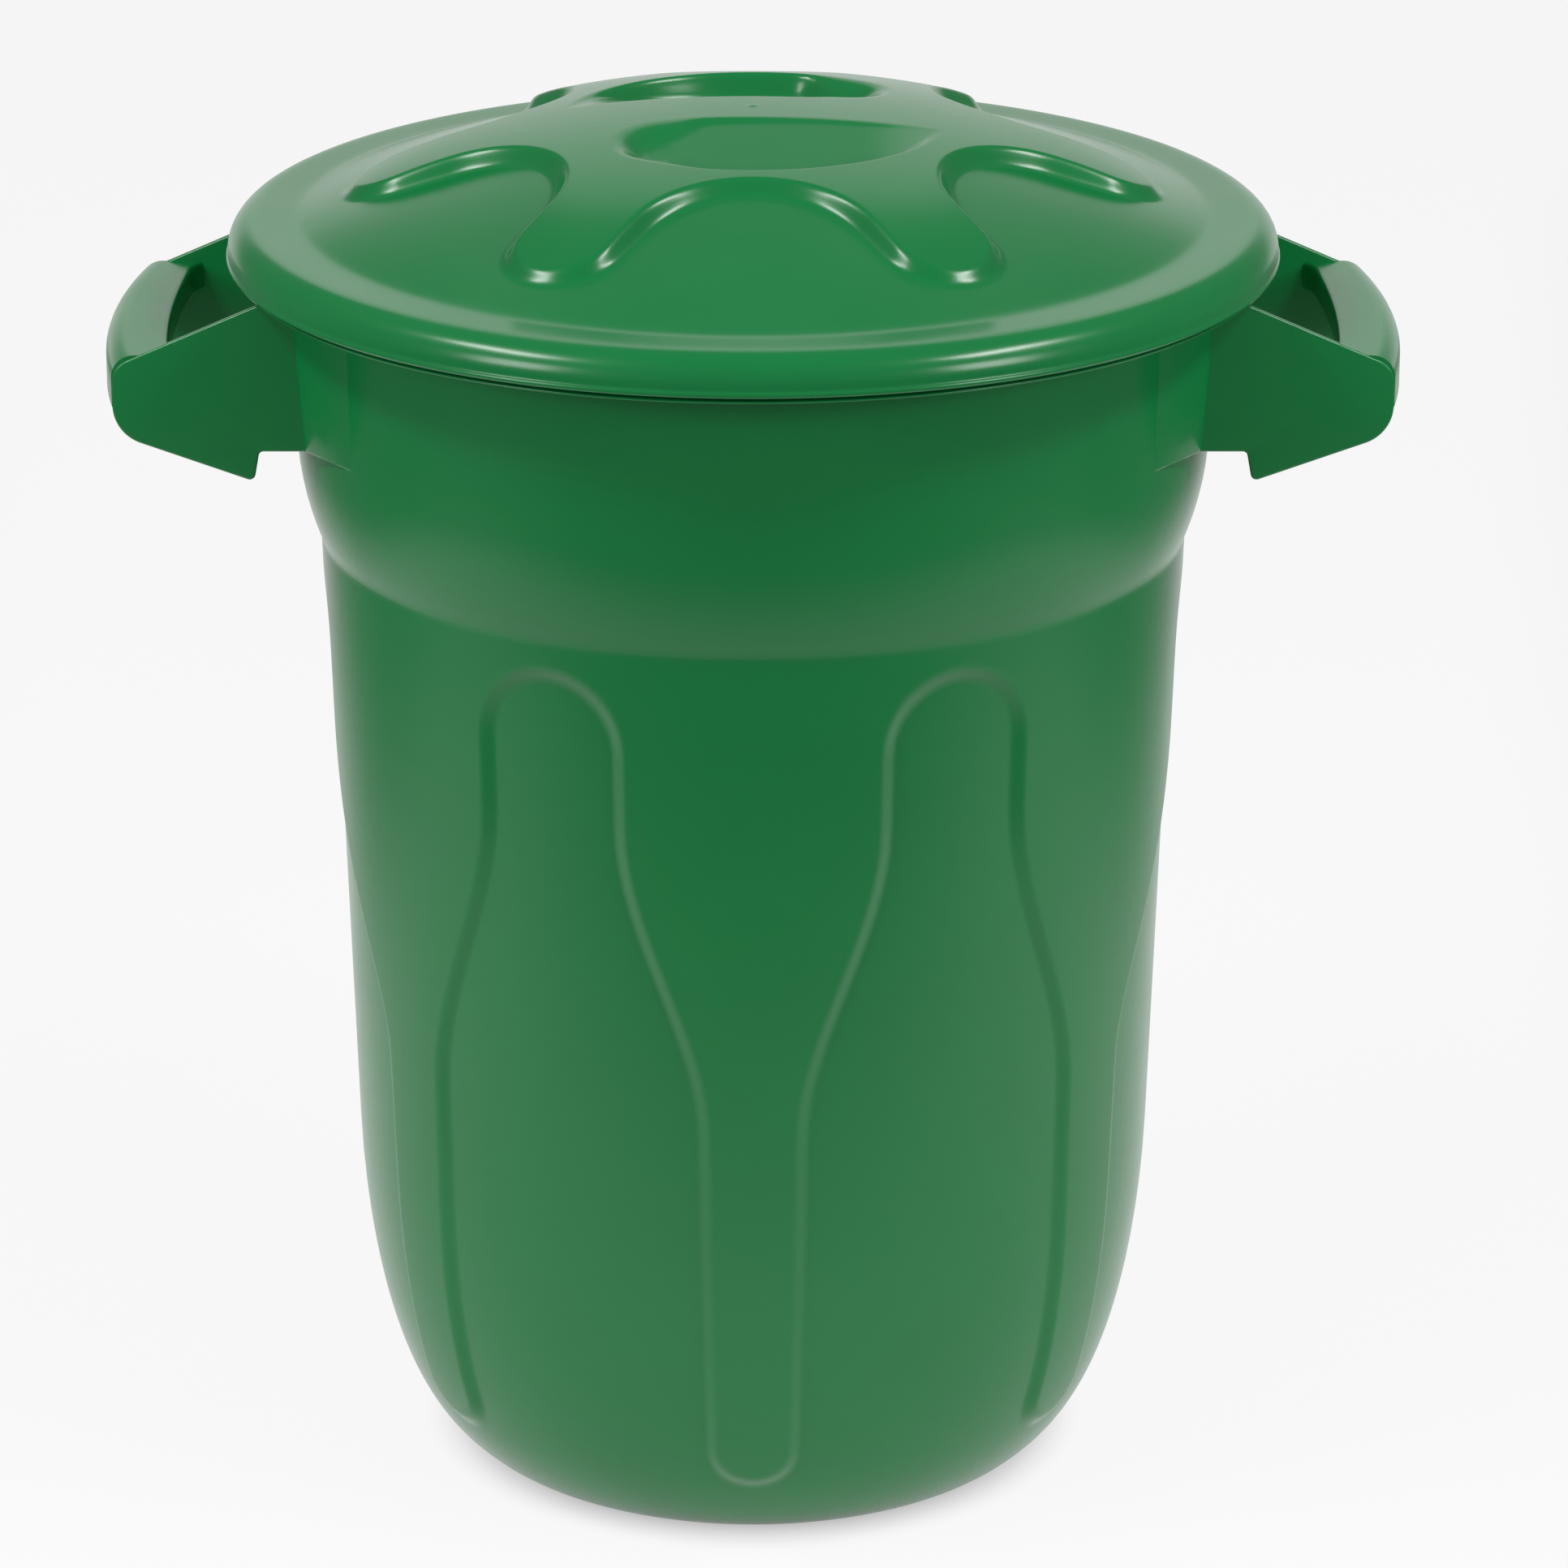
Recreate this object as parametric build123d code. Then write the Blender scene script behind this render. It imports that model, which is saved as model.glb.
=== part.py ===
from build123d import *
import math
import os

# Round household bin of about 100 litres: a tapered tub, two carrying handles and a lift-off lid.
# Millimetres. +Z is up and the origin is at the centre of the base. The front faces -Y,
# the handles point along +X and -X. Azimuth is counted from the front, positive towards +X.

# Walls and clearances
tub_wall = 3.2
lid_wall = 2.8
seat_gap = 0.3

# Main sizes of the tub
rim_height = 683.9
mouth_radius = 242.5
base_radius = 145.0

# Outer side of the tub: how far each level lies inside the mouth or below the rim
corner_inset = 23.8
corner_height = 183.5
corner_base_pull = 51.0
corner_side_pull = 82.7
waist_inset = 13.5
waist_drop = 166.3
collar_bulge_inset = 2.2
collar_bulge_drop = 138.9
collar_inset = 1.7
collar_drop = 108.9
base_ring_width = 33.0
base_recess_depth = 4.0

# Rolled rim that carries the lid
rim_overhang = 28.9
rim_depth = 21.3
rim_shoulder = 12.9

# Bottle-shaped flutes pressed into the side, and the raised ribs between them
flute_depth = 4.0
rib_half_width = 24.4
rib_foot_half_width = 21.8
side_rib_azimuth = 54.6
rib_foot_height = 44.0
flute_foot_rise = 2.5
flute_body_share = 0.178
flute_neck_share = 0.721
flute_top_share = 0.945
core_top_share = 0.974
neck_half_width = 38.2
shoulder_low_share = 0.417
shoulder_high_share = 0.444

# Handles: a front plate and a rear plate joined by a bowed grip
handle_width = 184.0
plate_thickness = 4.0
plate_root_drop = 16.1
plate_slope = 23.4
handle_overhang = 58.1
grip_bow = 9.0
plate_low_drop = 91.2
plate_low_slope = 19.7
plate_top_round = 12.0
plate_low_round = 21.0
hook_stand_off = 15.0
hook_round = 3.0
notch_stand_off = 12.0
notch_drop = 100.8
grip_drop = 49.4
grip_wall = 3.2
hand_gap = 27.6
grip_inner_bow = 5.5
grip_skirt_depth = 28.5
grip_lip_depth = 14.5
grip_top_round = 12.0
grip_lip_round = 2.5

# Pads on the collar that the handle plates run into
pad_low_inset = 10.9
pad_high_inset = 4.1
pad_flank = 12.6
pad_flank_inset = 26.5
pad_depth_inset = 30.5
pad_top_drop = 4.9

# Lid
skirt_length = 20.6
skirt_flare = 0.8
annulus_width = 33.4
dome_slope = 0.30
dome_core_radius = 100.0
crown_rise = 56.0
crown_flat_pull = 80.0
crown_pull_radius = 150.0
crown_pull_drop = 10.0
crown_edge_inset = 23.0
crown_edge_drop = 46.5

# Raised star on the lid
lobe_azimuth = 31.5
lobe_inset = 30.0
side_lobe_inset = 26.0
lobe_half_width = 29.0
front_valley_radius = 115.0
side_valley_radius = 121.0

# Two hand scoops, either side of a straight grip bar
bar_half_width = 21.0
scoop_radius = 101.5
scoop_end_inset = 74.0
scoop_slope = 0.292
scoop_end_round = 32.0
gate_radius = 3.0
gate_height = 0.5

# Sizes that follow: tub
rim_radius = mouth_radius + rim_overhang
corner_radius = mouth_radius - corner_inset
waist_radius = mouth_radius - waist_inset
waist_height = rim_height - waist_drop
collar_bulge_radius = mouth_radius - collar_bulge_inset
collar_bulge_height = rim_height - collar_bulge_drop
collar_radius = mouth_radius - collar_inset
collar_height = rim_height - collar_drop
base_recess_radius = base_radius - base_ring_width
flute_foot_height = corner_height + flute_foot_rise
flute_length = waist_height - flute_foot_height
flute_body_height = flute_foot_height + flute_length * flute_body_share
flute_neck_height = flute_foot_height + flute_length * flute_neck_share
flute_top_height = flute_foot_height + flute_length * flute_top_share
core_top_height = flute_foot_height + flute_length * core_top_share
shoulder_low_pull = (flute_neck_height - flute_body_height) * shoulder_low_share
shoulder_high_pull = (flute_neck_height - flute_body_height) * shoulder_high_share

# Sizes that follow: handles
plate_root_height = rim_height - plate_root_drop
plate_reach = rim_radius + handle_overhang
plate_low_height = rim_height - plate_low_drop
hook_inset = mouth_radius + hook_stand_off
notch_inset = mouth_radius + notch_stand_off
notch_height = rim_height - notch_drop
grip_height = rim_height - grip_drop
grip_reach = plate_reach + grip_bow
grip_inner_end = rim_radius + hand_gap
grip_inner = grip_inner_end + grip_inner_bow
grip_skirt_height = grip_height - grip_skirt_depth
grip_lip_height = grip_height - grip_lip_depth
pad_low_reach = mouth_radius - pad_low_inset
pad_high_reach = mouth_radius - pad_high_inset
pad_flank_reach = mouth_radius - pad_flank_inset
pad_depth = mouth_radius - pad_depth_inset
pad_top_height = rim_height - pad_top_drop

# Sizes that follow: lid
annulus_height = rim_height + seat_gap + lid_wall
annulus_inner_radius = rim_radius - annulus_width
skirt_radius = rim_radius + seat_gap + lid_wall
lid_shoulder = rim_shoulder + seat_gap + lid_wall
crown_height = annulus_height + crown_rise
crown_edge_radius = annulus_inner_radius - crown_edge_inset
lobe_reach = annulus_inner_radius - lobe_inset
side_lobe_reach = annulus_inner_radius - side_lobe_inset
far_out = rim_radius + 100


def sin(angle):
    return math.sin(math.radians(angle))


def cos(angle):
    return math.cos(math.radians(angle))


def facing(azimuth):
    """A plane through the axis whose normal points outwards at this azimuth, with +Z as its up direction."""
    return Plane(
        origin=(0, 0, 0),
        x_dir=(cos(azimuth), sin(azimuth), 0),
        z_dir=(sin(azimuth), -cos(azimuth), 0),
    )


def turned(edges):
    """The solid that a closed outline of radius and height sweeps round the axis."""
    face = Plane.XZ * make_face(edges)
    return revolve(face, Axis.Z)


def both_sides(azimuths):
    """Each azimuth and its mirror image, once."""
    found = []
    for azimuth in azimuths:
        found.append(azimuth)
        if 0 < azimuth < 180:
            found.append(-azimuth)
    return found


def side_radius(height, inset):
    """Radius of the straight side between the corner and the waist."""
    share = (height - corner_height) / (waist_height - corner_height)
    return corner_radius + (waist_radius - corner_radius) * share - inset


def half_angle(half_width):
    """Half the angle that a width takes up on the side of the tub, at the foot of the flutes."""
    return math.degrees(math.asin(half_width / side_radius(flute_foot_height, 0)))


def flute_places():
    """The azimuth of each flute and its half angle: two front, two rear and one on each side."""
    rib = half_angle(rib_half_width)
    middle = side_rib_azimuth / 2
    spread = middle - rib
    side_spread = 90 - side_rib_azimuth - rib
    places = []
    for azimuth in both_sides((middle, 180 - middle)):
        places.append((azimuth, spread))
    for azimuth in both_sides((90.0,)):
        places.append((azimuth, side_spread))
    return places


def tub_corner(inset, lift):
    """The rounded lower corner, from the base to the straight side."""
    start = (base_radius, lift)
    end = (corner_radius - inset, corner_height)
    slope = (waist_radius - corner_radius) / (waist_height - corner_height)
    side_pull = corner_side_pull - lift
    return Bezier(
        start,
        (base_radius + corner_base_pull - inset, lift),
        (end[0] - slope * side_pull, corner_height - side_pull),
        end,
    )


def tub_raised(inset, lift, top):
    """The turned body at the level of the ribs, collar included."""
    corner = tub_corner(inset, lift)
    waist = (waist_radius - inset, waist_height)
    collar = (collar_radius - inset, collar_height)
    mouth = (mouth_radius - inset, top)
    edges = [
        Line((0, lift), corner @ 0),
        corner,
        Line(corner @ 1, waist),
        Bezier(waist, (collar_bulge_radius - inset, collar_bulge_height), collar),
        Line(collar, mouth),
        Line(mouth, (0, top)),
        Line((0, top), (0, lift)),
    ]
    return turned(edges)


def tub_core(inset, lift):
    """The turned body at the level of the flutes."""
    depth = inset + flute_depth
    corner = tub_corner(depth, lift)
    top = (side_radius(core_top_height, depth), core_top_height)
    edges = [
        Line((0, lift), corner @ 0),
        corner,
        Line(corner @ 1, top),
        Line(top, (0, core_top_height)),
        Line((0, core_top_height), (0, lift)),
    ]
    return turned(edges)


def flute_prism(azimuth, spread, grow):
    """A bottle outline pushed outwards through the side. It is open at the foot."""
    body = side_radius(flute_foot_height, 0) * sin(spread) + grow
    neck = neck_half_width + grow
    arch = flute_top_height - neck_half_width
    foot = flute_foot_height
    right = [
        Line((body, foot), (body, flute_body_height)),
        Bezier(
            (body, flute_body_height),
            (body, flute_body_height + shoulder_low_pull),
            (neck, flute_neck_height - shoulder_high_pull),
            (neck, flute_neck_height),
        ),
        Line((neck, flute_neck_height), (neck, arch)),
    ]
    left = [edge.mirror(Plane.YZ) for edge in right]
    edges = right + left
    edges.append(ThreePointArc((neck, arch), (0, arch + neck), (-neck, arch)))
    edges.append(Line((-body, foot), (body, foot)))
    return extrude(facing(azimuth) * make_face(edges), far_out)


def rib_foot_prism(azimuth, half, foot, grow):
    """A prism that leaves the lower end of one rib standing, narrowing to a round foot."""
    low = rib_foot_height + grow + foot
    top = flute_foot_height + 1
    edges = [
        Line((foot, low), (half, top)),
        Line((half, top), (-half, top)),
        Line((-half, top), (-foot, low)),
        ThreePointArc((-foot, low), (0, low - foot), (foot, low)),
    ]
    return extrude(facing(azimuth) * make_face(edges), far_out)


def rib_feet(grow):
    """The lower ends of the ribs at the front and the rear and of the four towards the sides."""
    feet = []
    azimuths = [0.0, 180.0] + both_sides((side_rib_azimuth, 180 - side_rib_azimuth))
    for azimuth in azimuths:
        feet.append(rib_foot_prism(azimuth, rib_half_width - grow, rib_foot_half_width - grow, grow))
    return feet


def tub_form(inset, lift, top):
    """The fluted body as one solid, with its outline moved inwards by the inset."""
    body = tub_raised(inset, lift, top)
    for azimuth, spread in flute_places():
        body -= flute_prism(azimuth, spread, inset)
    lower = Cylinder(far_out, flute_foot_height + 1, align=(Align.CENTER, Align.CENTER, Align.MIN))
    lower = Pos(0, 0, -1) * lower
    for foot in rib_feet(inset):
        lower -= foot
    return body - lower + tub_core(inset, lift)


def rim_ring():
    """The rolled rim: a flat seat, a rounded shoulder and a lip that turns down."""
    inner = mouth_radius - tub_wall
    bend = rim_radius - rim_shoulder
    bend_height = rim_height - rim_shoulder
    lip = rim_height - rim_depth
    under = rim_height - tub_wall
    inner_bend = rim_shoulder - tub_wall
    half = inner_bend * cos(45)
    outer_half = rim_shoulder * cos(45)
    edges = [
        Line((inner, under - tub_wall), (inner, rim_height)),
        Line((inner, rim_height), (bend, rim_height)),
        ThreePointArc(
            (bend, rim_height),
            (bend + outer_half, bend_height + outer_half),
            (rim_radius, bend_height),
        ),
        Line((rim_radius, bend_height), (rim_radius, lip)),
        Line((rim_radius, lip), (rim_radius - tub_wall, lip)),
        Line((rim_radius - tub_wall, lip), (rim_radius - tub_wall, bend_height)),
        ThreePointArc(
            (rim_radius - tub_wall, bend_height),
            (bend + half, bend_height + half),
            (bend, under),
        ),
        Line((bend, under), (mouth_radius + tub_wall, under)),
        Line((mouth_radius + tub_wall, under), (mouth_radius, under - tub_wall)),
        Line((mouth_radius, under - tub_wall), (inner, under - tub_wall)),
    ]
    return turned(edges)


def pad_outline(reach, flank_reach):
    """Plan of one pad pair: flat where the plates meet it, with a slanting flank beyond each plate."""
    half = handle_width / 2
    corners = [
        (reach, -half),
        (reach, half),
        (flank_reach, half + pad_flank),
        (pad_depth, half + pad_flank),
        (pad_depth, -half - pad_flank),
        (flank_reach, -half - pad_flank),
    ]
    return make_face(Polyline(*corners, close=True))


def handle_pads():
    """Thickened collar between and beside the handle plates, leaning with the collar."""
    lean = pad_high_reach - pad_low_reach
    low = Pos(0, 0, notch_height) * pad_outline(pad_low_reach, pad_flank_reach)
    high = Pos(0, 0, pad_top_height) * pad_outline(pad_high_reach, pad_flank_reach + lean)
    right = loft([low, high])
    return right, mirror(right, Plane.YZ)


def make_tub():
    """The tub: fluted body, rolled rim and handle pads in one moulding."""
    inside = tub_form(tub_wall, tub_wall + base_recess_depth, rim_height + 1)
    body = tub_form(0, 0, rim_height)
    for pad in handle_pads():
        body += pad
    body += rim_ring()
    recess = Cylinder(base_recess_radius, base_recess_depth, align=(Align.CENTER, Align.CENTER, Align.MIN))
    return body - inside - recess


def plate_outline():
    """Side view of a handle plate: sloping top, rounded outer end, slanting underside and a hook."""
    fall = math.tan(math.radians(plate_slope))
    rise = math.tan(math.radians(plate_low_slope))
    hook_low = plate_low_height - (plate_reach - hook_inset) * rise
    outline = Polyline(
        (pad_low_reach - tub_wall, plate_root_height + fall * tub_wall),
        (plate_reach, plate_root_height - fall * (plate_reach - pad_high_reach)),
        (plate_reach, plate_low_height),
        (hook_inset, hook_low),
        (notch_inset, notch_height),
        (pad_low_reach - tub_wall, notch_height),
        close=True,
    )
    face = make_face(outline)
    corners = face.vertices()
    outer = corners.filter_by(lambda v: abs(v.X - plate_reach) < 0.01).sort_by(Axis.Y)
    face = fillet(outer[-1], plate_top_round)
    corners = face.vertices()
    low = corners.filter_by(lambda v: abs(v.Y - plate_low_height) < 0.01)
    face = fillet(low, plate_low_round)
    corners = face.vertices()
    hook = corners.filter_by(lambda v: abs(v.Y - hook_low) < 0.01)
    return fillet(hook, hook_round)


def handle_plates():
    """The front and rear plates of the handle on the +X side."""
    outline = plate_outline()
    half = handle_width / 2
    rear = extrude(Plane(origin=(0, half, 0), x_dir=(1, 0, 0), z_dir=(0, -1, 0)) * outline, plate_thickness)
    front = mirror(rear, Plane.XZ)
    return front, rear


def grip_block(outset, inset, low, high):
    """The space between two bowed curves in plan, as wide as the handle."""
    half = handle_width / 2
    edges = [
        ThreePointArc((plate_reach - outset, -half), (grip_reach - outset, 0), (plate_reach - outset, half)),
        Line((plate_reach - outset, half), (grip_inner_end + inset, half)),
        ThreePointArc((grip_inner_end + inset, half), (grip_inner + inset, 0), (grip_inner_end + inset, -half)),
        Line((grip_inner_end + inset, -half), (plate_reach - outset, -half)),
    ]
    return extrude(Pos(0, 0, low) * make_face(edges), high - low)


def make_grip():
    """The bowed grip: rounded on top, open underneath, with a short inner lip."""
    block = grip_block(0, 0, grip_skirt_height, grip_height)
    top = block.faces().sort_by(Axis.Z)[-1]
    outer = top.edges().sort_by(Axis.X)[-1]
    inner = top.edges().sort_by(Axis.X)[0]
    block = fillet(outer, grip_top_round)
    top_edges = block.edges().filter_by(lambda e: abs(e.center().Z - grip_height) < 0.01)
    inner = top_edges.sort_by(Axis.X)[0]
    block = fillet(inner, grip_lip_round)
    hollow = grip_block(grip_wall, grip_wall, grip_skirt_height - 1, grip_height - grip_wall)
    hollow_top = hollow.faces().sort_by(Axis.Z)[-1].edges().sort_by(Axis.X)[-1]
    hollow = fillet(hollow_top, grip_top_round - grip_wall)
    below_lip = grip_block(grip_wall, -1, grip_skirt_height - 1, grip_lip_height)
    return block - hollow - below_lip


def make_handle(tub):
    """One handle on the +X side, ending on the faces of the tub."""
    front, rear = handle_plates()
    return front + rear + make_grip() - tub


def tip_centre_radius(azimuth):
    """How far out the round tip of this lobe is centred."""
    reach = side_lobe_reach if azimuth in (90.0, 270.0) else lobe_reach
    return reach - lobe_half_width


def star_outline(grow):
    """Plan of the raised star: six parallel-sided lobes with round tips and round valleys."""
    half = lobe_half_width + grow
    lobes = [lobe_azimuth, 90.0, 180 - lobe_azimuth, 180 + lobe_azimuth, 270.0, 360 - lobe_azimuth]
    edges = []
    for index, azimuth in enumerate(lobes):
        following = lobes[index + 1] if index + 1 < len(lobes) else lobes[0] + 360
        valley = (azimuth + following) / 2
        spread = (following - azimuth) / 2
        along_y = abs(sin(valley)) < 0.01
        crest = front_valley_radius if along_y else side_valley_radius
        arc = (crest * sin(spread) - lobe_half_width) / (1 - sin(spread))
        centre = crest + arc
        reach = centre * cos(spread)
        tip_centre = tip_centre_radius(azimuth)
        tip_left = lobe_point(azimuth, tip_centre, -half)
        tip_end = lobe_point(azimuth, tip_centre + half, 0)
        tip_right = lobe_point(azimuth, tip_centre, half)
        edges.append(ThreePointArc(tip_left, tip_end, tip_right))
        valley_in = lobe_point(azimuth, reach, half)
        valley_out = lobe_point(following, reach, -half)
        edges.append(Line(tip_right, valley_in))
        edges.append(ThreePointArc(valley_in, lobe_point(valley, crest + grow, 0), valley_out))
        edges.append(Line(valley_out, lobe_point(following, tip_centre_radius(following), -half)))
    return make_face(edges)


def lobe_point(azimuth, along, across):
    """A point in plan, along and across the line at this azimuth."""
    x = along * sin(azimuth) + across * cos(azimuth)
    y = -along * cos(azimuth) + across * sin(azimuth)
    return (x, y)


def crown_curve(drop):
    """The crowned top of the star, from the middle outwards."""
    top = crown_height - drop
    return Bezier(
        (0, top),
        (crown_flat_pull, top),
        (crown_pull_radius, top - crown_pull_drop),
        (crown_edge_radius, top - crown_edge_drop),
    )


def scoop_outline(grow):
    """Plan of the front scoop: straight along the bar, round outside, blunt at its -X end."""
    bar = -bar_half_width + grow
    radius = scoop_radius + grow
    end = -scoop_end_inset - grow
    outline = Pos(0, 0, 0) * make_face(
        [
            Line((-radius, bar), (radius, bar)),
            Line((radius, bar), (radius, -radius)),
            Line((radius, -radius), (-radius, -radius)),
            Line((-radius, -radius), (-radius, bar)),
        ]
    )
    outline = outline & Circle(radius)
    blunt = Pos(end, -radius - 1) * Rectangle(
        radius - end + 1, radius + 1 + bar, align=(Align.MIN, Align.MIN)
    )
    outline = outline & blunt
    blunt_corners = outline.vertices().filter_by(lambda v: abs(v.X - end) < 0.01)
    return fillet(blunt_corners, scoop_end_round + grow)


def scoop_tool(drop):
    """What the front scoop takes away: its floor follows the crown along the bar and falls outwards."""
    curve = crown_curve(drop)
    half = curve.trim(0, 0.9)
    side = half @ 1
    above = crown_height + 20
    left = half.mirror(Plane.YZ)
    roof = [
        half,
        left,
        Line(half @ 1, (side.X, above)),
        Line((side.X, above), (-side.X, above)),
        Line((-side.X, above), left @ 1),
    ]
    edge_drop = crown_height - height_on_crown(bar_half_width)
    start = Plane(origin=(0, -bar_half_width + drop, -edge_drop), x_dir=(1, 0, 0), z_dir=(0, -1, 0))
    length = scoop_radius * math.hypot(1, scoop_slope)
    ramp = extrude(start * make_face(roof), length, dir=(0, -1, -scoop_slope))
    wall = extrude(Pos(0, 0, annulus_height - 60) * scoop_outline(drop), crown_rise + 100)
    return ramp & wall


def height_on_crown(radius):
    """Height of the crown above the base at this radius."""
    curve = crown_curve(0)
    low, high = 0.0, 1.0
    for _ in range(40):
        middle = (low + high) / 2
        if (curve @ middle).X < radius:
            low = middle
        else:
            high = middle
    return (curve @ low).Y


def lid_form(inset):
    """The lid as one solid, with its outline moved inwards by the inset."""
    shoulder = lid_shoulder - inset
    bend = skirt_radius - lid_shoulder
    bend_height = annulus_height - lid_shoulder
    flat = annulus_height - inset
    low = annulus_height - skirt_length - (1 if inset else 0)
    side = skirt_radius - inset
    half = shoulder * cos(45)
    foot = annulus_inner_radius - inset * dome_slope
    dome_top = flat + dome_slope * (foot - dome_core_radius)
    edges = [
        Line((0, dome_top), (dome_core_radius, dome_top)),
        Line((dome_core_radius, dome_top), (foot, flat)),
        Line((foot, flat), (bend, flat)),
        ThreePointArc((bend, flat), (bend + half, bend_height + half), (side, bend_height)),
        Line((side, bend_height), (side + skirt_flare, low)),
        Line((side + skirt_flare, low), (0, low)),
        Line((0, low), (0, dome_top)),
    ]
    body = turned(edges)
    crown = crown_curve(inset)
    cap = turned(
        [
            crown,
            Line(crown @ 1, ((crown @ 1).X, bend_height)),
            Line(((crown @ 1).X, bend_height), (0, bend_height)),
            Line((0, bend_height), crown @ 0),
        ]
    )
    star = extrude(Pos(0, 0, bend_height) * star_outline(-inset), crown_rise + lid_shoulder + 1)
    body += cap & star
    scoop = scoop_tool(inset)
    return body - scoop - Rot(0, 0, 180) * scoop


def make_lid():
    """The lid shell, with the mark of its moulding gate in the middle."""
    gate = Pos(0, 0, crown_height - gate_height) * Cylinder(
        gate_radius, 2 * gate_height, align=(Align.CENTER, Align.CENTER, Align.MIN)
    )
    return lid_form(0) - lid_form(lid_wall) + gate


tub = make_tub()
right_handle = make_handle(tub)
left_handle = mirror(right_handle, Plane.YZ)
lid = make_lid()

os.makedirs("parts", exist_ok=True)
nodes = {"tub": tub, "right_handle": right_handle, "left_handle": left_handle, "lid": lid}
for name, shape in nodes.items():
    export_step(shape, "parts/" + name + ".step")
    print(name, "solids", len(shape.solids()), "volume", round(shape.volume))
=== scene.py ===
# Round plastic trash can: tub with pressed flutes, two handles and a loose lid.
# Sizes below are millimetres and degrees; azimuth 0 is the front (-Y), positive towards +X.
import math

import bmesh
import bpy
import numpy as np
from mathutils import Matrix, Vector
from mathutils.geometry import delaunay_2d_cdt


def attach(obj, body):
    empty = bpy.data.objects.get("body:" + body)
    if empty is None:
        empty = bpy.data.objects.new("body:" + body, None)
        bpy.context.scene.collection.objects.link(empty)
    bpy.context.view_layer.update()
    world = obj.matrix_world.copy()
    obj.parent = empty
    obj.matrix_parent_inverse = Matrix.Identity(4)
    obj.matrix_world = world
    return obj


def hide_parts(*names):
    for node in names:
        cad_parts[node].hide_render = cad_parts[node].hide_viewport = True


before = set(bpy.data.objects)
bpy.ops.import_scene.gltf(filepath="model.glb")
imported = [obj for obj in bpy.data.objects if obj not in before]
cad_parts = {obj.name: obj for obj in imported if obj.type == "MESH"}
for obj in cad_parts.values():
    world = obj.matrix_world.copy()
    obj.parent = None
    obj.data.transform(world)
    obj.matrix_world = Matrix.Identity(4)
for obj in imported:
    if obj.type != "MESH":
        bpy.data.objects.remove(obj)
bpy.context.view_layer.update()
scene = bpy.context.scene
mm = 0.001


def toLinear(hexColour):
    values = [int(hexColour[i:i + 2], 16) / 255 for i in (1, 3, 5)]
    return tuple(v / 12.92 if v <= 0.04045 else ((v + 0.055) / 1.055) ** 2.4 for v in values) + (1.0,)


def addNode(tree, kind, settings=None, inputs=None):
    # a socket is linked, anything else is set as the input's own value
    node = tree.nodes.new(kind)
    for name, value in (settings or {}).items():
        setattr(node, name, value)
    for key, value in (inputs or {}).items():
        if isinstance(value, bpy.types.NodeSocket):
            tree.links.new(value, node.inputs[key])
        else:
            node.inputs[key].default_value = value
    return node


def addMath(tree, operation, *operands):
    return addNode(tree, "ShaderNodeMath", {"operation": operation}, dict(enumerate(operands))).outputs[0]


def addRange(tree, kind, *values):
    # value, from, from, and to, to where that isn't 0 to 1
    settings = {"interpolation_type": kind}
    return addNode(tree, "ShaderNodeMapRange", settings, dict(enumerate(values))).outputs[0]


def pieceFrom(name, points, faces, material):
    # points arrive in millimetres
    mesh = bpy.data.meshes.new(name)
    mesh.from_pydata((np.asarray(points, float) * mm).tolist(), [], faces)
    mesh.validate()
    mesh.polygons.foreach_set("use_smooth", [True] * len(mesh.polygons))
    mesh.materials.append(material)
    piece = bpy.data.objects.new(name, mesh)
    scene.collection.objects.link(piece)
    return piece


# Camera: the photograph's view, level with nothing turned, looking down on the bin
cameraPlace = {
    "lens": 154.8,          # mm, on a 36 mm wide sensor
    "position": (0, -3416, 1609),
    "down": 19.97,          # degrees below the horizon
    "shift": 0.0197,        # the bin stands a little left of the middle
}

camera = bpy.data.objects.new("camera", bpy.data.cameras.new("camera"))
camera.data.lens = cameraPlace["lens"]
camera.data.sensor_width = 36
camera.data.shift_x = cameraPlace["shift"]
camera.data.clip_end = 50
camera.location = Vector(cameraPlace["position"]) * mm
camera.rotation_euler = (math.radians(90 - cameraPlace["down"]), 0, 0)
scene.collection.objects.link(camera)
scene.camera = camera
print("camera placed")


# Moulded polypropylene: coloured through, satin gloss from a fine-blasted mould, so highlights
# are soft-edged and the colour stays deep; faint orange peel and slow gloss changes from cooling.
plastic = {
    "colour": "#097e3e",
    "thinColour": "#0b8542",     # where the wall cooled a little paler
    "ior": 1.49,                 # polypropylene
    "roughness": (0.21, 0.26),
    "peelSize": 2.6,             # mm; real orange peel is about 1 mm, drawn coarser so that it shows
    "peelHeight": 0.012, "peelStrength": 0.35,
    "flowSize": 90.0,            # mm, patches of slightly different gloss
    "flowRange": (0.3, 0.7),     # the part of the noise that goes through the roughness range
}


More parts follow.
